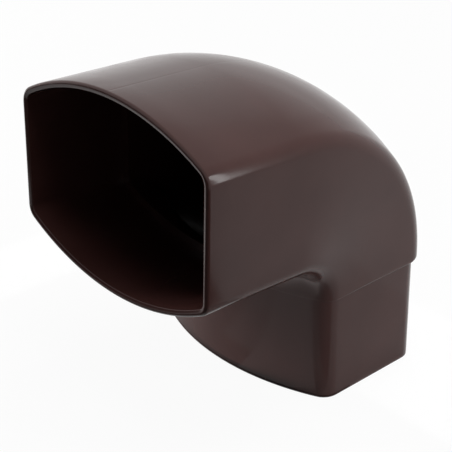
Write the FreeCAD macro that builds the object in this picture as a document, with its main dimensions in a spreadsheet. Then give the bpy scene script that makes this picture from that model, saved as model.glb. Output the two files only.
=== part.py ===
"""A downspout elbow: one moulded piece with a barrel-shaped section, a socket that looks sideways, a bend of
87.5 degrees and a spigot that points down.

Frame: X along the section's long axis, Y away from the socket's mouth, Z up. The origin is on the spigot's
axis at its lower end. Lengths are in millimetres and angles in degrees.
"""
import FreeCAD, Part
import math
import os
import Sketcher

NODE = "elbow_body"

# How a sketch numbers the places on an edge.
START, END, CENTRE = range(1, 4)

# Driving sizes. A bow is how far a broad side of the section stands out past its two corners.
SIZES = {
    "spigot_width": 105.0,
    "spigot_depth": 76.0,
    "spigot_bow": 12.6,
    "spigot_length": 46.8,
    "socket_width": 114.0,
    "socket_depth": 83.8,
    "socket_bow": 15.1,
    "socket_length": 46.9,
    "corner_radius": 8.0,
    "wall": 2.8,
    "bend_angle": 87.5,
    "bend_radius": 47.5,
    "collar_height": 1.6,
    "side_step": 0.5,
    "heel_step": 3.1,
    "heel_relief": 1.7,
    "rim_round": 1.3,
    "rim_bevel": 1.1,
    "foot_bevel": 0.4,
}


def make_sheet(doc):
    """The spreadsheet that holds every driving size under its own name."""
    sheet = doc.addObject("Spreadsheet::Sheet", "sizes")
    for row, (name, value) in enumerate(SIZES.items(), start=1):
        sheet.set(f"A{row}", name)
        sheet.set(f"B{row}", str(value))
        sheet.setAlias(f"B{row}", name)
    doc.recompute()
    return sheet


class Section:
    """A barrel-shaped outline, written as expressions of the sheet's names: two flat sides and two bowed
    ones. The heel side is the outer side of the bend and the throat side the inner one."""

    def __init__(self, half_width, throat, heel, bow, corner):
        self.half_width = half_width
        self.throat = throat
        self.heel = heel
        self.bow_radius = f"(({half_width})^2 + ({bow})^2) / (2 * ({bow}))"
        self.corner = corner

    def inset(self, distance):
        """The same outline moved inwards by a distance, with its bowed sides kept concentric."""
        smaller = Section(f"{self.half_width} - ({distance})", f"{self.throat} - ({distance})",
                          f"{self.heel} - ({distance})", "1", f"{self.corner} - ({distance})")
        smaller.bow_radius = f"{self.bow_radius} - ({distance})"
        return smaller


# The outlines of the elbow, from the spigot's end to the socket's mouth.
SPIGOT = Section("sizes.spigot_width / 2", "sizes.spigot_depth / 2", "sizes.spigot_depth / 2",
                 "sizes.spigot_bow", "sizes.corner_radius")
SPIGOT_BORE = SPIGOT.inset("sizes.wall")
COLLAR = Section("sizes.spigot_width / 2 + sizes.side_step", "sizes.spigot_depth / 2 + sizes.side_step",
                 "sizes.spigot_depth / 2 + sizes.heel_step", "sizes.spigot_bow", "sizes.corner_radius")
COLLAR_FOOT = Section(COLLAR.half_width, COLLAR.throat, f"{COLLAR.heel} - sizes.heel_relief",
                      "sizes.spigot_bow", "sizes.corner_radius")
SOCKET = Section("sizes.socket_width / 2", "sizes.socket_depth / 2", "sizes.socket_depth / 2",
                 "sizes.socket_bow", "sizes.corner_radius")
SOCKET_BORE = SOCKET.inset("sizes.wall")

# Where the outlines lie along the spigot's axis and at the socket's end of the bend.
BEND_FOOT = "sizes.spigot_length + sizes.collar_height"
BEND_END_Y = "-sizes.bend_radius * (1 - cos(sizes.bend_angle))"
BEND_END_Z = f"{BEND_FOOT} + sizes.bend_radius * sin(sizes.bend_angle)"


def plane(body, role):
    """One of the body's own origin planes."""
    for feature in body.Origin.OriginFeatures:
        if feature.Role == role:
            return feature
    raise ValueError(role)


def new_sketch(body, name, role):
    """An empty sketch on one of the body's origin planes."""
    sketch = body.newObject("Sketcher::SketchObject", name)
    sketch.AttachmentSupport = (plane(body, role), [""])
    sketch.MapMode = "FlatFace"
    return sketch


def drive(sketch, constraint, expression):
    """Adds a dimension and binds it to an expression of the sheet."""
    index = sketch.addConstraint(constraint)
    sketch.setExpression(f"Constraints[{index}]", expression)


def hold_in_middle(sketch, edge, place):
    """Holds a place on an edge to the sketch's own upright axis."""
    upright_axis = -2
    sketch.addConstraint(Sketcher.Constraint("PointOnObject", edge, place, upright_axis))


def draw_section(sketch, section):
    """Draws a barrel-shaped outline with its sizes bound to the sheet and its heel side towards +Y."""
    read = sketch.evalExpression
    half = float(read(section.half_width))
    bow = float(read(section.bow_radius))
    corner = float(read(section.corner))
    heel_centre = float(read(section.heel)) - bow
    throat_centre = bow - float(read(section.throat))
    corner_x = half - corner
    rise = math.sqrt((bow - corner) ** 2 - corner_x ** 2)
    lean = math.atan2(rise, corner_x)
    heel_y = heel_centre + rise
    throat_y = throat_centre - rise

    def point(x, y):
        return FreeCAD.Vector(x, y, 0)

    def arc(x, y, radius, start, end):
        circle = Part.Circle(point(x, y), FreeCAD.Vector(0, 0, 1), radius)
        return Part.ArcOfCircle(circle, start, end)

    right, heel_right, heel, heel_left, left, throat_left, throat, throat_right = range(8)
    sketch.addGeometry([
        Part.LineSegment(point(half, throat_y), point(half, heel_y)),
        arc(corner_x, heel_y, corner, 0, lean),
        arc(0, heel_centre, bow, lean, math.pi - lean),
        arc(-corner_x, heel_y, corner, math.pi - lean, math.pi),
        Part.LineSegment(point(-half, heel_y), point(-half, throat_y)),
        arc(-corner_x, throat_y, corner, math.pi, math.pi + lean),
        arc(0, throat_centre, bow, math.pi + lean, 2 * math.pi - lean),
        arc(corner_x, throat_y, corner, 2 * math.pi - lean, 2 * math.pi),
    ], False)
    for edge in range(sketch.GeometryCount):
        following = (edge + 1) % sketch.GeometryCount
        sketch.addConstraint(Sketcher.Constraint("Tangent", edge, END, following, START))
    sketch.addConstraint(Sketcher.Constraint("Vertical", right))
    sketch.addConstraint(Sketcher.Constraint("Vertical", left))
    for edge in (heel, throat):
        hold_in_middle(sketch, edge, CENTRE)
    for edge in (heel_left, throat_left, throat_right):
        sketch.addConstraint(Sketcher.Constraint("Equal", heel_right, edge))
    sketch.addConstraint(Sketcher.Constraint("Equal", heel, throat))
    drive(sketch, Sketcher.Constraint("Radius", heel_right, corner), section.corner)
    drive(sketch, Sketcher.Constraint("Radius", heel, bow), section.bow_radius)
    drive(sketch, Sketcher.Constraint("DistanceX", right, START, half), section.half_width)
    drive(sketch, Sketcher.Constraint("DistanceX", left, START, -half), f"-({section.half_width})")
    drive(sketch, Sketcher.Constraint("DistanceY", heel, CENTRE, heel_centre),
          f"{section.heel} - ({section.bow_radius})")
    drive(sketch, Sketcher.Constraint("DistanceY", throat, CENTRE, throat_centre),
          f"{section.bow_radius} - ({section.throat})")


def level_section(body, name, section, height):
    """An outline that lies level, at a height above the spigot's end."""
    sketch = new_sketch(body, name, "XY_Plane")
    sketch.setExpression("AttachmentOffset.Base.z", height)
    draw_section(sketch, section)
    return sketch


def socket_section(body, name, section, distance):
    """An outline square to the socket's axis, at a distance from the bend towards the mouth."""
    sketch = new_sketch(body, name, "XY_Plane")
    upright = FreeCAD.Rotation(FreeCAD.Vector(1, 0, 0), 90)
    sketch.AttachmentOffset = FreeCAD.Placement(FreeCAD.Vector(), upright)
    sketch.setExpression("AttachmentOffset.Rotation.Angle", "sizes.bend_angle")
    sketch.setExpression("AttachmentOffset.Base.y", f"{BEND_END_Y} - ({distance}) * sin(sizes.bend_angle)")
    sketch.setExpression("AttachmentOffset.Base.z", f"{BEND_END_Z} + ({distance}) * cos(sizes.bend_angle)")
    draw_section(sketch, section)
    return sketch


def bend_path(body):
    """The bend's centre line, an arc in the plane of the bend."""
    sketch = new_sketch(body, "bend_path", "YZ_Plane")
    radius = float(sketch.evalExpression("sizes.bend_radius"))
    height = float(sketch.evalExpression(BEND_FOOT))
    turn = math.radians(float(sketch.evalExpression("sizes.bend_angle")))
    circle = Part.Circle(FreeCAD.Vector(-radius, height, 0), FreeCAD.Vector(0, 0, 1), radius)
    arc = sketch.addGeometry(Part.ArcOfCircle(circle, 0, turn), False)
    hold_in_middle(sketch, arc, START)
    sketch.addConstraint(Sketcher.Constraint("Horizontal", arc, START, arc, CENTRE))
    drive(sketch, Sketcher.Constraint("Radius", arc, radius), "sizes.bend_radius")
    drive(sketch, Sketcher.Constraint("DistanceY", arc, CENTRE, height), BEND_FOOT)
    drive(sketch, Sketcher.Constraint("DistanceX", arc, END, -radius), BEND_END_Y)
    return sketch


def pad(body, name, sketch, length):
    """A straight run of solid from an outline."""
    feature = body.newObject("PartDesign::Pad", name)
    feature.Profile = sketch
    feature.setExpression("Length", length)
    return feature


def loft(body, name, sketches):
    """A solid that passes through several outlines."""
    feature = body.newObject("PartDesign::AdditiveLoft", name)
    feature.Profile = sketches[0]
    feature.Sections = sketches[1:]
    return feature


def sweep(body, name, path, first, last):
    """A solid along the bend, whose outline changes evenly from one end to the other."""
    feature = body.newObject("PartDesign::AdditivePipe", name)
    feature.Profile = first
    feature.Spine = (path, ["Edge1"])
    feature.Transformation = "Multisection"
    feature.Sections = [last]
    return feature


def cut(body, name, sketch, length):
    """A straight cut from an outline, towards the sketch's front."""
    feature = body.newObject("PartDesign::Pocket", name)
    feature.Profile = sketch
    feature.Reversed = True
    feature.setExpression("Length", length)
    return feature


def turned_cut(body, name, sketch):
    """A cut made by turning a level outline round the bend's axis."""
    radius = float(sketch.evalExpression("sizes.bend_radius"))
    half = float(sketch.evalExpression("sizes.spigot_width / 2"))
    line = Part.LineSegment(FreeCAD.Vector(-half, -radius, 0), FreeCAD.Vector(half, -radius, 0))
    axis = sketch.addGeometry(line, True)
    sketch.addConstraint(Sketcher.Constraint("Horizontal", axis))
    drive(sketch, Sketcher.Constraint("DistanceX", axis, START, -half), "-sizes.spigot_width / 2")
    drive(sketch, Sketcher.Constraint("DistanceX", axis, END, half), "sizes.spigot_width / 2")
    drive(sketch, Sketcher.Constraint("DistanceY", axis, START, -radius), "-sizes.bend_radius")
    feature = body.newObject("PartDesign::Groove", name)
    feature.Profile = sketch
    feature.ReferenceAxis = (sketch, ["Axis0"])
    feature.setExpression("Angle", "sizes.bend_angle")
    return feature


def end_edges(shape, origin, normal):
    """The names of the outer and of the inner edges of the flat end face that lies in a plane."""
    tolerance = 0.01
    for face in shape.Faces:
        flat = face.Surface.TypeId == "Part::GeomPlane"
        square = abs(face.normalAt(0, 0).dot(normal)) > 1 - tolerance
        offset = (face.CenterOfMass - origin).dot(normal)
        if flat and square and abs(offset) < tolerance:
            outer = [f"Edge{shape.findSubShape(edge)[1]}" for edge in face.OuterWire.Edges]
            every = [f"Edge{shape.findSubShape(edge)[1]}" for edge in face.Edges]
            return outer, [name for name in every if name not in outer]
    raise ValueError("no flat end face there")


def fillet(body, name, base, edges, radius):
    """Rounds some edges of the body's last feature."""
    feature = body.newObject("PartDesign::Fillet", name)
    feature.Base = (base, edges)
    feature.setExpression("Radius", radius)
    return feature


def bevel(body, name, base, edges, size):
    """Bevels some edges of the body's last feature."""
    feature = body.newObject("PartDesign::Chamfer", name)
    feature.Base = (base, edges)
    feature.setExpression("Size", size)
    return feature


def make_elbow(doc):
    """The whole elbow: its outer form first, then the way through it, then the rounded edges."""
    body = doc.addObject("PartDesign::Body", NODE)
    body.Label = NODE
    path = bend_path(body)

    spigot = level_section(body, "spigot_outline", SPIGOT, "0")
    pad(body, "spigot", spigot, BEND_FOOT)
    collar_foot = level_section(body, "collar_foot_outline", COLLAR_FOOT, "sizes.spigot_length")
    collar = level_section(body, "collar_outline", COLLAR, BEND_FOOT)
    loft(body, "collar", [collar_foot, collar])
    socket = socket_section(body, "socket_outline", SOCKET, "0")
    sweep(body, "bend", path, collar, socket)
    pad(body, "socket", socket, "sizes.socket_length")
    doc.recompute()

    spigot_bore = level_section(body, "spigot_bore_outline", SPIGOT_BORE, "0")
    cut(body, "spigot_bore", spigot_bore, BEND_FOOT)
    bend_bore = level_section(body, "bend_bore_outline", SPIGOT_BORE, BEND_FOOT)
    turned_cut(body, "bend_bore", bend_bore)
    socket_bore = socket_section(body, "socket_bore_outline", SOCKET_BORE, "0")
    last = cut(body, "socket_bore", socket_bore, "sizes.socket_length")
    doc.recompute()

    along_socket = socket.Placement.Rotation.multVec(FreeCAD.Vector(0, 0, 1))
    mouth = socket.Placement.Base + along_socket * float(socket.evalExpression("sizes.socket_length"))
    outer_rim = end_edges(last.Shape, mouth, along_socket)[0]
    last = fillet(body, "rim_rounding", last, outer_rim, "min(sizes.rim_round; 0.5 * sizes.wall)")
    doc.recompute()
    inner_rim = end_edges(last.Shape, mouth, along_socket)[1]
    last = bevel(body, "rim_bevel", last, inner_rim, "min(sizes.rim_bevel; 0.4 * sizes.wall)")
    doc.recompute()
    outer_foot = end_edges(last.Shape, FreeCAD.Vector(), FreeCAD.Vector(0, 0, 1))[0]
    bevel(body, "foot_bevel", last, outer_foot, "min(sizes.foot_bevel; 0.4 * sizes.wall)")
    doc.recompute()
    return body


def check(doc, body):
    """Stops if any object failed or the finished solid isn't sound."""
    for item in doc.Objects:
        if "Invalid" in item.State or "Error" in item.State:
            raise RuntimeError(f"{item.Name} failed: {item.State}")
    shape = body.Shape
    if shape.isNull() or not shape.isValid() or len(shape.Solids) != 1:
        raise RuntimeError(f"{body.Label} isn't one sound solid")


document = FreeCAD.newDocument("downspout_elbow")
make_sheet(document)
elbow = make_elbow(document)
check(document, elbow)
os.makedirs("parts", exist_ok=True)
elbow.Shape.exportStep(f"parts/{elbow.Label}.step")
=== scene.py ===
"""The look of a moulded brown downspout elbow: its skin, its plastic, the studio and the camera.

The skin is a grid of outlines. It runs up the outside from the spigot's foot to the socket's mouth,
and back down the inside. Its lengths are in millimetres until its points are placed in the frame,
which is in metres. The studio is in metres.
"""

import math

import bpy
from mathutils import Matrix, Vector


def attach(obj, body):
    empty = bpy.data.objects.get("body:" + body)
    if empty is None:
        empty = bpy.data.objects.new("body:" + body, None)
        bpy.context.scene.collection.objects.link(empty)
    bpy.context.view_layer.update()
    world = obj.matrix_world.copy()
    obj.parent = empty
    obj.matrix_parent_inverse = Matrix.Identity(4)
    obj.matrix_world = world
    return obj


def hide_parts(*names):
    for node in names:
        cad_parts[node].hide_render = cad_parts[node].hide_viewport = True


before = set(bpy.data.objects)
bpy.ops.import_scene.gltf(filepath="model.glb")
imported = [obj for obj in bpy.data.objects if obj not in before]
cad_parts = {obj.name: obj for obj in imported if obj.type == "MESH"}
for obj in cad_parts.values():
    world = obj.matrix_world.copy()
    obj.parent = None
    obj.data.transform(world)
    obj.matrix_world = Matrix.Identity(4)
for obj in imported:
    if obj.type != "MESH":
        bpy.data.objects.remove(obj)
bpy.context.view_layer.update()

MM = 0.001
NODE = "elbow_body"
SLOT = "brown_plastic"

# The pipe's section at the spigot and at the socket. A bow is how far a broad side stands out
# past its two corners.
SPIGOT_HALF_WIDTH = 52.5
SPIGOT_HALF_DEPTH = 38.0
SPIGOT_BOW = 12.6
SOCKET_HALF_WIDTH = 57.0
SOCKET_HALF_DEPTH = 41.85
SOCKET_BOW = 15.1
SOCKET_LENGTH = 46.87
HEEL_CORNER = 8.0
THROAT_CORNER = 6.5
SPIGOT_CORNER = 8.0
LEAST_CORNER = 0.8
WALL = 2.8

# The body starts with a small step over the spigot and bends about an axis along X.
STEP_HEIGHT = 46.8
STEP_ROUND = 1.6
SIDE_STEP = 0.5
FRONT_STEP = 0.15
HEEL_STEP = 3.1
BEND_FOOT = 48.4
BEND_RADIUS = 47.5
BEND_ANGLE = math.radians(87.5)
FOOT_BEVEL = 0.4

# The rounding between the front and the underside grows towards the sides, from one distance to
# another from the middle.
THROAT_ROUND = 12.0
THROAT_ROUND_AT_SIDES = 22.0
THROAT_ROUND_GROWS = (42.0, 54.0)

# The rim is rounded outside, slopes inwards to lead the pipe in, and ends in a lip.
RIM_ROUND = 1.25
RIM_SLOPE = math.radians(19.0)
LIP_ROUND = 0.4

# A fine groove along the middle of the socket's top, where the two halves of the mould meet.
# It is deepest at the rim, and runs out in the last part of the bend.
GROOVE_DEPTH = 0.07
GROOVE_WIDTH = 0.4
GROOVE_LEFT_AT_BEND = 0.4
GROOVE_ENDS = math.radians(50.0)

# How many steps the grid takes along each stretch of an outline and of the skin.
BROAD_STEPS = 22
CORNER_STEPS = 10
SIDE_STEPS = 14
FOOT_STEPS = 4
BEND_STEPS = 72
SOCKET_STEPS = 5
BORE_STEPS = 40
ROUND_STEPS = 6

# Shares of the straight stretches inside, on the way down, and places across a broad side that
# lie close enough together to shape the groove.
INSIDE_SHARES = (0.66, 0.33, 0.0)
GROOVE_PLACES = (0.0, 0.15, 0.3, 0.5, 0.9)

# How the end of a corner is found: the rounds it takes, and the step that measures a side's lean.
TANGENT_ROUNDS = 20
TANGENT_STEP = 0.01

# Edges sharper than this stay sharp in the shading.
SHARP_ANGLE = math.radians(32.0)


def bow_radius(half_width, bow):
    """The radius of a broad side that bows out between two corners."""
    return (half_width ** 2 + bow ** 2) / (2 * bow)


# Bow radii, and distances of the broad sides' crowns from the bend's axis.
SPIGOT_RADIUS = bow_radius(SPIGOT_HALF_WIDTH, SPIGOT_BOW)
SOCKET_RADIUS = bow_radius(SOCKET_HALF_WIDTH, SOCKET_BOW)
FRONT = BEND_RADIUS - SPIGOT_HALF_DEPTH - FRONT_STEP
UNDERSIDE = BEND_RADIUS - SOCKET_HALF_DEPTH
HEEL_START = BEND_RADIUS + SPIGOT_HALF_DEPTH + HEEL_STEP
HEEL_END = BEND_RADIUS + SOCKET_HALF_DEPTH


def fall(x, radius):
    """How far a bowed side has dropped back from its crown at a distance x from the middle."""
    return radius - math.sqrt(radius ** 2 - x ** 2)


def ease(share):
    """Goes from 0 to 1 with a level start and end."""
    share = min(max(share, 0.0), 1.0)
    return share * share * (3 - 2 * share)


def shares(count):
    """Even shares of a stretch, up to the whole of it."""
    return [step / count for step in range(1, count + 1)]


def broad_places(end):
    """Places across half of a broad side, close together at the groove."""
    first = GROOVE_PLACES[-1]
    return [*GROOVE_PLACES, *(first + (end - first) * share for share in shares(BROAD_STEPS))]


class Outline:
    """One barrel-shaped outline, as pairs of x, along the section's long axis, and reach, the
    distance from the bend's axis. Its two broad sides are functions of x."""

    def __init__(self, half_width, throat, heel, throat_corner, heel_corner, groove=0.0):
        self.half_width = half_width
        self.throat = throat
        self.heel = heel
        self.throat_corner = throat_corner
        self.heel_corner = heel_corner
        self.groove = groove

    def points(self):
        """The outline's points in order, from the middle of the throat side round to the same place."""
        right = self.side_points()
        left = [(-x, reach) for x, reach in reversed(right[1:-1])]
        return right + left

    def side_points(self):
        """The half of the outline where x isn't negative: throat side, flat side and heel side."""
        throat_x, throat_lean = self.tangent(self.throat, 1, self.throat_corner)
        heel_x, heel_lean = self.tangent(self.heel, -1, self.heel_corner)
        throat_middle = self.throat(throat_x) + self.throat_corner * math.cos(throat_lean)
        heel_middle = self.heel(heel_x) - self.heel_corner * math.cos(heel_lean)
        points = [(x, self.throat(x)) for x in broad_places(throat_x)]
        for share in shares(CORNER_STEPS):
            turn = throat_lean + (math.pi / 2 - throat_lean) * share
            points.append(self.corner_point(self.throat_corner, throat_middle, -1, turn))
        for share in shares(SIDE_STEPS)[:-1]:
            points.append((self.half_width, throat_middle + (heel_middle - throat_middle) * share))
        for share in (0.0, *shares(CORNER_STEPS)):
            turn = math.pi / 2 - (math.pi / 2 - heel_lean) * share
            points.append(self.corner_point(self.heel_corner, heel_middle, 1, turn))
        for x in reversed(broad_places(heel_x)[:-1]):
            points.append((x, self.heel(x) - self.groove * math.exp(-(x / GROOVE_WIDTH) ** 2)))
        return points

    def corner_point(self, corner, middle, sign, turn):
        """A point on a corner's arc. A turn of a right angle points along x, away from the middle."""
        x = self.half_width - corner + corner * math.sin(turn)
        return x, middle + sign * corner * math.cos(turn)

    def tangent(self, side, sign, corner):
        """Where a corner's arc leaves a broad side, and how far that side leans there."""
        middle_x = self.half_width - corner
        x = middle_x
        lean = 0.0
        for _ in range(TANGENT_ROUNDS):
            rise = side(x + TANGENT_STEP) - side(x - TANGENT_STEP)
            lean = math.atan(sign * rise / (2 * TANGENT_STEP))
            x = middle_x + corner * math.sin(lean)
        return x, lean


def plain_outline(half_width, half_depth, radius, throat_corner, heel_corner, inset, groove=0.0):
    """An outline with two equal bowed sides, moved inwards by an inset."""
    return Outline(
        half_width - inset,
        lambda x: BEND_RADIUS - half_depth + inset + fall(x, radius - inset),
        lambda x: BEND_RADIUS + half_depth - inset - fall(x, radius - inset),
        max(throat_corner - inset, LEAST_CORNER),
        max(heel_corner - inset, LEAST_CORNER),
        groove,
    )


def spigot_outline(inset=0.0):
    """The spigot's outline, moved inwards by an inset."""
    return plain_outline(
        SPIGOT_HALF_WIDTH, SPIGOT_HALF_DEPTH, SPIGOT_RADIUS, SPIGOT_CORNER, SPIGOT_CORNER, inset)


def socket_outline(inset=0.0, groove=0.0):
    """The socket's outline, moved inwards by an inset, with a groove along its top."""
    return plain_outline(
        SOCKET_HALF_WIDTH, SOCKET_HALF_DEPTH, SOCKET_RADIUS, THROAT_CORNER, HEEL_CORNER, inset, groove)


def throat_round(x):
    """The radius of the rounding between the front and the underside, at a distance x from the middle."""
    start, end = THROAT_ROUND_GROWS
    grown = ease((abs(x) - start) / (end - start))
    return THROAT_ROUND + (THROAT_ROUND_AT_SIDES - THROAT_ROUND) * grown


def throat_reach(x, angle):
    """How far the throat lies from the bend's axis, where the bend has turned by an angle: on the
    front, on the underside or on the rounding between them."""
    front = FRONT + fall(x, SPIGOT_RADIUS)
    underside = UNDERSIDE + fall(x, SOCKET_RADIUS)
    radius = throat_round(x)
    middle_along = front - radius
    middle_up = (underside - radius - middle_along * math.cos(BEND_ANGLE)) / math.sin(BEND_ANGLE)
    leave_front = math.atan2(middle_up, front)
    meet_along = middle_along + radius * math.cos(BEND_ANGLE)
    meet_up = middle_up + radius * math.sin(BEND_ANGLE)
    meet_underside = math.atan2(meet_up, meet_along)
    if angle <= leave_front:
        return front / math.cos(angle)
    if angle >= meet_underside:
        return underside / math.cos(BEND_ANGLE - angle)
    ahead = middle_along * math.cos(angle) + middle_up * math.sin(angle)
    aside = middle_along * math.sin(angle) - middle_up * math.cos(angle)
    return ahead + math.sqrt(radius ** 2 - aside ** 2)


def bend_outline(angle):
    """The body's outline where the bend has turned by an angle. Its flat sides ease out to the
    socket's width."""
    turned = angle / BEND_ANGLE
    start_width = SPIGOT_HALF_WIDTH + SIDE_STEP
    heel = HEEL_START + (HEEL_END - HEEL_START) * turned
    groove_share = ease((angle - GROOVE_ENDS) / (BEND_ANGLE - GROOVE_ENDS))
    return Outline(
        start_width + (SOCKET_HALF_WIDTH - start_width) * ease(turned),
        lambda x: throat_reach(x, angle),
        lambda x: heel - fall(x, SOCKET_RADIUS),
        SPIGOT_CORNER + (THROAT_CORNER - SPIGOT_CORNER) * ease(turned),
        HEEL_CORNER,
        GROOVE_DEPTH * GROOVE_LEFT_AT_BEND * groove_share,
    )


def level_ring(outline, height):
    """An outline's points on a level plane."""
    return [Vector((x, reach - BEND_RADIUS, height)) for x, reach in outline.points()]


def turned_ring(outline, angle, distance=0.0):
    """An outline's points on a plane through the bend's axis, moved on towards the mouth by a distance."""
    along = math.cos(angle)
    up = math.sin(angle)
    ring = []
    for x, reach in outline.points():
        y = reach * along - BEND_RADIUS - distance * up
        z = reach * up + BEND_FOOT + distance * along
        ring.append(Vector((x, y, z)))
    return ring


def foot_rings():
    """The spigot's outside, from its bevelled foot up to the step."""
    plain = spigot_outline()
    yield level_ring(spigot_outline(FOOT_BEVEL), 0.0)
    yield level_ring(plain, FOOT_BEVEL)
    for share in shares(FOOT_STEPS):
        yield level_ring(plain, FOOT_BEVEL + (STEP_HEIGHT - FOOT_BEVEL) * share)


def step_rings():
    """The step from the spigot to the body. Its lower edge is rounded as far as the step is wide."""
    spigot = level_ring(spigot_outline(), STEP_HEIGHT)
    body = level_ring(bend_outline(0.0), STEP_HEIGHT)
    for share in (0.0, *shares(ROUND_STEPS)):
        turn = math.pi / 2 * share
        ring = []
        for inner, outer in zip(spigot, body):
            out = outer - inner
            radius = min(STEP_ROUND, out.length)
            edge = outer - out.normalized() * radius * (1 - math.sin(turn))
            ring.append(edge + Vector((0, 0, radius * (1 - math.cos(turn)))))
        yield ring


def bend_rings():
    """The body's outside along the bend."""
    for share in (0.0, *shares(BEND_STEPS)):
        angle = BEND_ANGLE * share
        yield turned_ring(bend_outline(angle), angle)


def socket_rings():
    """The socket's outside, its rim and its inside down to the stop."""
    straight = SOCKET_LENGTH - RIM_ROUND
    for share in shares(SOCKET_STEPS):
        groove = GROOVE_DEPTH * (GROOVE_LEFT_AT_BEND + (1 - GROOVE_LEFT_AT_BEND) * share)
        yield turned_ring(socket_outline(groove=groove), BEND_ANGLE, straight * share)

    slope_starts = math.pi / 2 + RIM_SLOPE
    for share in shares(ROUND_STEPS):
        turn = slope_starts * share
        outline = socket_outline(RIM_ROUND * (1 - math.cos(turn)))
        yield turned_ring(outline, BEND_ANGLE, straight + RIM_ROUND * math.sin(turn))

    rounded_width = LIP_ROUND * (1 - math.sin(RIM_SLOPE)) + RIM_ROUND * (1 + math.sin(RIM_SLOPE))
    slope_depth = (WALL - rounded_width) * math.tan(RIM_SLOPE)
    lip = straight + (RIM_ROUND - LIP_ROUND) * math.cos(RIM_SLOPE) - slope_depth
    for share in (0.0, *shares(ROUND_STEPS)):
        turn = slope_starts + (math.pi - slope_starts) * share
        outline = socket_outline(WALL - LIP_ROUND * (1 + math.cos(turn)))
        yield turned_ring(outline, BEND_ANGLE, lip + LIP_ROUND * math.sin(turn))

    for share in INSIDE_SHARES:
        yield turned_ring(socket_outline(WALL), BEND_ANGLE, straight * share)


def bore_rings():
    """The way through the bend and the spigot, from the stop down to the foot."""
    bore = spigot_outline(WALL)
    for share in (0.0, *shares(BORE_STEPS)):
        yield turned_ring(bore, BEND_ANGLE * (1 - share))
    for share in INSIDE_SHARES:
        yield level_ring(bore, BEND_FOOT * share)


def make_skin():
    """The elbow's whole skin as one closed grid."""
    rings = [*foot_rings(), *step_rings(), *bend_rings(), *socket_rings(), *bore_rings()]
    vertices = [point * MM for ring in rings for point in ring]
    size = len(rings[0])
    faces = []
    for row in range(len(rings)):
        here = row * size
        there = (row + 1) % len(rings) * size
        for column in range(size):
            following = (column + 1) % size
            faces.append((here + column, here + following, there + following, there + column))
    mesh = bpy.data.meshes.new("elbow_skin")
    mesh.from_pydata(vertices, [], faces)
    mesh.validate()
    mesh.shade_smooth()
    mesh.set_sharp_from_angle(angle=SHARP_ANGLE)
    piece = bpy.data.objects.new("elbow_skin", mesh)
    bpy.context.collection.objects.link(piece)
    return piece


class Nodes:
    """A short way to build a node tree."""

    def __init__(self, tree):
        self.tree = tree
        tree.nodes.clear()

    def add(self, kind, **settings):
        """A new node with some of its settings."""
        node = self.tree.nodes.new(kind)
        for name, value in settings.items():
            setattr(node, name, value)
        return node

    def link(self, source, target):
        """Joins an output to an input."""
        self.tree.links.new(source, target)

    def mix(self, share, first, second):
        """Two shaders in one. The share says how much of the second one shows."""
        mixed = self.add("ShaderNodeMixShader")
        for source, target in zip((share, first, second), mixed.inputs):
            self.link(source, target)
        return mixed.outputs["Shader"]

    def noise(self, place, scale, detail):
        """Noise at a place, with a scale per metre."""
        noise = self.add("ShaderNodeTexNoise")
        noise.inputs["Scale"].default_value = scale
        noise.inputs["Detail"].default_value = detail
        self.link(place, noise.inputs["Vector"])
        return noise.outputs["Fac"]


# Brown plastic, as linear colour.
BROWN = (0.056, 0.0225, 0.0198)
BROWN_PALE = (0.066, 0.0275, 0.0244)
SPECULAR_LEVEL = 0.25

# The noises that mottle the plastic, make its gloss uneven and give it an orange-peel surface. Each
# has a scale and a detail, and a range says which of the noise's values count.
MOTTLE_NOISE = (38.0, 5.0)
MOTTLE_RANGE = (0.35, 0.7)
GLOSS_NOISE = (120.0, 6.0)
GLOSS_RANGE = (0.3, 0.7)
ROUGHNESS = (0.11, 0.2)
PEEL_NOISE = (420.0, 3.0)
PEEL_STRENGTH = 0.05
PEEL_HEIGHT = 0.0003


def make_plastic():
    """Satin-gloss moulded plastic: slight mottling, an uneven gloss and a fine orange-peel skin."""
    material = bpy.data.materials.new(SLOT)
    material.use_nodes = True
    nodes = Nodes(material.node_tree)
    output = nodes.add("ShaderNodeOutputMaterial")
    plastic = nodes.add("ShaderNodeBsdfPrincipled")
    plastic.inputs["Specular IOR Level"].default_value = SPECULAR_LEVEL
    place = nodes.add("ShaderNodeTexCoord").outputs["Object"]

    tint = nodes.add("ShaderNodeValToRGB")
    for stop, position, colour in zip(tint.color_ramp.elements, MOTTLE_RANGE, (BROWN, BROWN_PALE)):
        stop.position = position
        stop.color = (*colour, 1.0)
    nodes.link(nodes.noise(place, *MOTTLE_NOISE), tint.inputs["Fac"])
    nodes.link(tint.outputs["Color"], plastic.inputs["Base Color"])

    gloss = nodes.add("ShaderNodeMapRange")
    gloss.inputs["From Min"].default_value = GLOSS_RANGE[0]
    gloss.inputs["From Max"].default_value = GLOSS_RANGE[1]
    gloss.inputs["To Min"].default_value = ROUGHNESS[0]
    gloss.inputs["To Max"].default_value = ROUGHNESS[1]
    nodes.link(nodes.noise(place, *GLOSS_NOISE), gloss.inputs["Value"])
    nodes.link(gloss.outputs["Result"], plastic.inputs["Roughness"])

    bump = nodes.add("ShaderNodeBump")
    bump.inputs["Strength"].default_value = PEEL_STRENGTH
    bump.inputs["Distance"].default_value = PEEL_HEIGHT
    nodes.link(nodes.noise(place, *PEEL_NOISE), bump.inputs["Height"])
    nodes.link(bump.outputs["Normal"], plastic.inputs["Normal"])
    nodes.link(plastic.outputs["BSDF"], output.inputs["Surface"])
    return material


# The studio's even light, its floor and the usual greys of its cards. A whiteness is the share of
# plain white that a sheet shows where it is seen.
WORLD_LIGHT = 0.25
WHITE = (1.0, 1.0, 1.0, 1.0)
FLOOR_SIZE = 6.0
FLOOR_WHITENESS = 0.95
# Most cards use these greys for painted shade that only the plastic mirrors.
PALE = 0.8
DARK = 0.1
BLACK = 0.02

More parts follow.
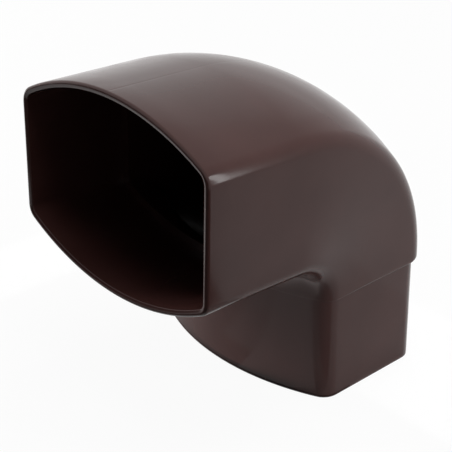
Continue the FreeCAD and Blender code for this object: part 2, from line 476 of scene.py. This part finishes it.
# How a sheet can stand.
FLAT = (0, 0, 0)
UPRIGHT = (math.pi / 2, 0, 0)

# What the lamps look at: the elbow's middle, and the socket's upper corner near the camera.
MIDDLE = (0.0, -0.02, 0.07)
NEAR_CORNER = (0.053, -0.092, 0.125)

# How high the cards on the floor lie. Those round the foot lie in layers.
WIDE_CARD_HEIGHT = 0.001
FOOT_CARD_HEIGHT = 0.0015
LAYER = 0.0001

# Where the studio ends in front of the socket: a low strip, and a wall above it.
STUDIO_END = -0.9
STUDIO_WIDTH = 2.4
STUDIO_STRIP_HEIGHT = 0.35
STUDIO_WALL_HEIGHT = 1.1


def seen_directly(nodes):
    """1 for the rays that show the background: from the camera, mirrored or through glass."""
    path = nodes.add("ShaderNodeLightPath")
    seen = path.outputs["Is Camera Ray"]
    for kind in ("Is Glossy Ray", "Is Transmission Ray"):
        either = nodes.add("ShaderNodeMath", operation="MAXIMUM")
        nodes.link(seen, either.inputs[0])
        nodes.link(path.outputs[kind], either.inputs[1])
        seen = either.outputs["Value"]
    return seen


def make_world():
    """White where it is seen, and a soft even light elsewhere."""
    world = bpy.data.worlds.new("studio")
    world.use_nodes = True
    bpy.context.scene.world = world
    nodes = Nodes(world.node_tree)
    output = nodes.add("ShaderNodeOutputWorld")
    light = nodes.add("ShaderNodeBackground")
    light.inputs["Strength"].default_value = WORLD_LIGHT
    white = nodes.add("ShaderNodeBackground")
    white.inputs["Color"].default_value = WHITE
    shown = nodes.mix(seen_directly(nodes), light.outputs["Background"], white.outputs["Background"])
    nodes.link(shown, output.inputs["Surface"])


def make_sheet(name, middle, size, lean, material):
    """A flat rectangle that belongs to the studio."""
    mesh = bpy.data.meshes.new(name)
    half_x = size[0] / 2
    half_y = size[1] / 2
    corners = [(-half_x, -half_y, 0), (half_x, -half_y, 0), (half_x, half_y, 0), (-half_x, half_y, 0)]
    mesh.from_pydata(corners, [], [(0, 1, 2, 3)])
    mesh.materials.append(material)
    sheet = bpy.data.objects.new(name, mesh)
    sheet.location = middle
    sheet.rotation_euler = lean
    bpy.context.collection.objects.link(sheet)
    return sheet


def make_sheet_material(name, grey, whiteness):
    """A matte grey that turns partly into plain white for the rays that show the background."""
    material = bpy.data.materials.new(name)
    material.use_nodes = True
    nodes = Nodes(material.node_tree)
    output = nodes.add("ShaderNodeOutputMaterial")
    matte = nodes.add("ShaderNodeBsdfDiffuse")
    matte.inputs["Color"].default_value = (grey, grey, grey, 1.0)
    white = nodes.add("ShaderNodeEmission")
    white.inputs["Color"].default_value = WHITE
    share = nodes.add("ShaderNodeMath", operation="MULTIPLY")
    share.inputs[1].default_value = whiteness
    nodes.link(seen_directly(nodes), share.inputs[0])
    shown = nodes.mix(share.outputs["Value"], matte.outputs["BSDF"], white.outputs["Emission"])
    nodes.link(shown, output.inputs["Surface"])
    return material


def make_floor():
    """A pale floor that is nearly white where it is seen, and keeps the object's shadow."""
    material = make_sheet_material("floor_white", PALE, FLOOR_WHITENESS)
    make_sheet("floor", (0, 0, 0), (FLOOR_SIZE, FLOOR_SIZE), FLAT, material)


def make_card(name, middle, size, grey, whiteness=0.0, lean=FLAT, mirrored=True):
    """A card that the plastic mirrors, unless told otherwise, and the camera doesn't see."""
    card = make_sheet(name, middle, size, lean, make_sheet_material(name, grey, whiteness))
    card.visible_camera = False
    card.visible_shadow = False
    card.visible_glossy = mirrored


def make_lamp(name, place, target, size, power, mirrored=False):
    """A soft rectangular lamp that looks at a target, and that the camera doesn't see."""
    light = bpy.data.lights.new(name, "AREA")
    light.shape = "RECTANGLE"
    light.size, light.size_y = size
    light.energy = power
    lamp = bpy.data.objects.new(name, light)
    lamp.location = place
    lamp.rotation_euler = (Vector(target) - Vector(place)).to_track_quat("-Z", "Y").to_euler()
    lamp.visible_camera = False
    lamp.visible_glossy = mirrored
    bpy.context.collection.objects.link(lamp)


def make_lamps():
    """Two lamps that show as highlights, on the near corner and on the socket's top, and three that
    only light the part: from above, from the left, and from the floor under the socket."""
    make_lamp("key", (0.34, 0.11, 0.195), NEAR_CORNER, size=(0.05, 0.25), power=0.34, mirrored=True)
    make_lamp("back", (-1.0, 0.88, 0.95), MIDDLE, size=(1.6, 0.9), power=0.98, mirrored=True)
    make_lamp("overhead", (0.1, 0.08, 1.12), MIDDLE, size=(1.0, 0.4), power=8.2)
    make_lamp("fill", (-0.9, -0.21, 0.08), MIDDLE, size=(0.3, 0.14), power=8.5)
    make_lamp("bounce", (-0.04, -0.064, 0.003), (-0.04, -0.058, 1.0), size=(0.2, 0.052), power=0.026)


def make_wide_cards():
    """Painted shade on the floor in front of the part and to its left, seen only in the plastic."""
    make_card("front_painted_shade", (0.145, -0.381, WIDE_CARD_HEIGHT), (0.51, 0.738), DARK)
    make_card("left_painted_shade", (-0.61, -0.6, WIDE_CARD_HEIGHT), (1.0, 0.6), DARK)
    make_card("near_left_painted_shade", (-0.61, -0.2, WIDE_CARD_HEIGHT), (0.9, 0.2), PALE, whiteness=0.5)


def make_foot_cards():
    """The cards round the foot, from the lowest to the topmost. The last three paint shade in the bore."""
    # Painted floor shade for the plastic to mirror; the two pale strips in front are painted light.
    cards = (
        ("foot_card", (-0.0025, -0.035), (0.305, 0.19), PALE, 0.38),
        ("front_glow", (0.0175, -0.094), (0.065, 0.084), PALE, 0.54),
        ("front_strip", (0.03, -0.084), (0.04, 0.104), PALE, 0.7),
        ("corner_shade", (0.104, -0.0815), (0.112, 0.107), 0.5, 0.26),
        ("corner_painted_shade", (0.111, -0.0815), (0.098, 0.107), 0.3, 0.17),
        ("bore_painted_shade_0", (0.0, 0.0), (0.098, 0.044), BLACK, 0.0),
        ("bore_painted_shade_1", (0.0, 0.0), (0.074, 0.058), BLACK, 0.0),
        ("bore_painted_shade_2", (0.0, 0.0), (0.05, 0.064), BLACK, 0.0),
    )
    for layer, (name, middle, size, grey, whiteness) in enumerate(cards):
        make_card(name, (*middle, FOOT_CARD_HEIGHT + LAYER * layer), size, grey, whiteness)


def make_studio_end():
    """A black strip that the plastic mirrors, and a black wall that only keeps light away."""
    strip_middle = (0.0, STUDIO_END, STUDIO_STRIP_HEIGHT / 2)
    make_card("studio_end", strip_middle, (STUDIO_WIDTH, STUDIO_STRIP_HEIGHT), BLACK, lean=UPRIGHT)
    wall_middle = (0.0, STUDIO_END, STUDIO_STRIP_HEIGHT + STUDIO_WALL_HEIGHT / 2)
    wall_size = (STUDIO_WIDTH, STUDIO_WALL_HEIGHT)
    make_card("studio_wall", wall_middle, wall_size, BLACK, lean=UPRIGHT, mirrored=False)


# The photograph's viewpoint. The last three values say where the frame's origin lies, seen from
# the lens, in millimetres.
IMAGE_SIZE = 452
SENSOR_WIDTH = 36.0
FOCAL_PIXELS = 1243.0
CAMERA_AZIMUTH = math.radians(49.0)
CAMERA_ELEVATION = math.radians(27.38)
CAMERA_ROLL = math.radians(1.07)
ORIGIN_RIGHT = 26.63
ORIGIN_DOWN = 46.73
ORIGIN_AWAY = 566.98


def make_camera():
    """The camera at the photograph's viewpoint. Back points from the elbow to the camera."""
    level = Vector((math.cos(CAMERA_AZIMUTH), math.sin(CAMERA_AZIMUTH), 0))
    outwards = Vector((math.sin(CAMERA_AZIMUTH), -math.cos(CAMERA_AZIMUTH), 0))
    back = outwards * math.cos(CAMERA_ELEVATION) + Vector((0, 0, math.sin(CAMERA_ELEVATION)))
    drop = level.cross(back)
    right = level * math.cos(CAMERA_ROLL) + drop * math.sin(CAMERA_ROLL)
    down = drop * math.cos(CAMERA_ROLL) - level * math.sin(CAMERA_ROLL)
    data = bpy.data.cameras.new("camera")
    data.sensor_width = SENSOR_WIDTH
    data.lens = FOCAL_PIXELS / IMAGE_SIZE * SENSOR_WIDTH
    camera = bpy.data.objects.new("camera", data)
    turn = Matrix((right, -down, back)).transposed()
    place = -(right * ORIGIN_RIGHT + down * ORIGIN_DOWN - back * ORIGIN_AWAY) * MM
    camera.matrix_world = Matrix.Translation(place) @ turn.to_4x4()
    bpy.context.collection.objects.link(camera)
    bpy.context.scene.camera = camera


skin = make_skin()
skin.data.materials.append(make_plastic())
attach(skin, "root")
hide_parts(NODE)

make_world()
make_floor()
make_lamps()
make_wide_cards()
make_foot_cards()
make_studio_end()
make_camera()
bpy.context.scene.view_settings.view_transform = "Standard"
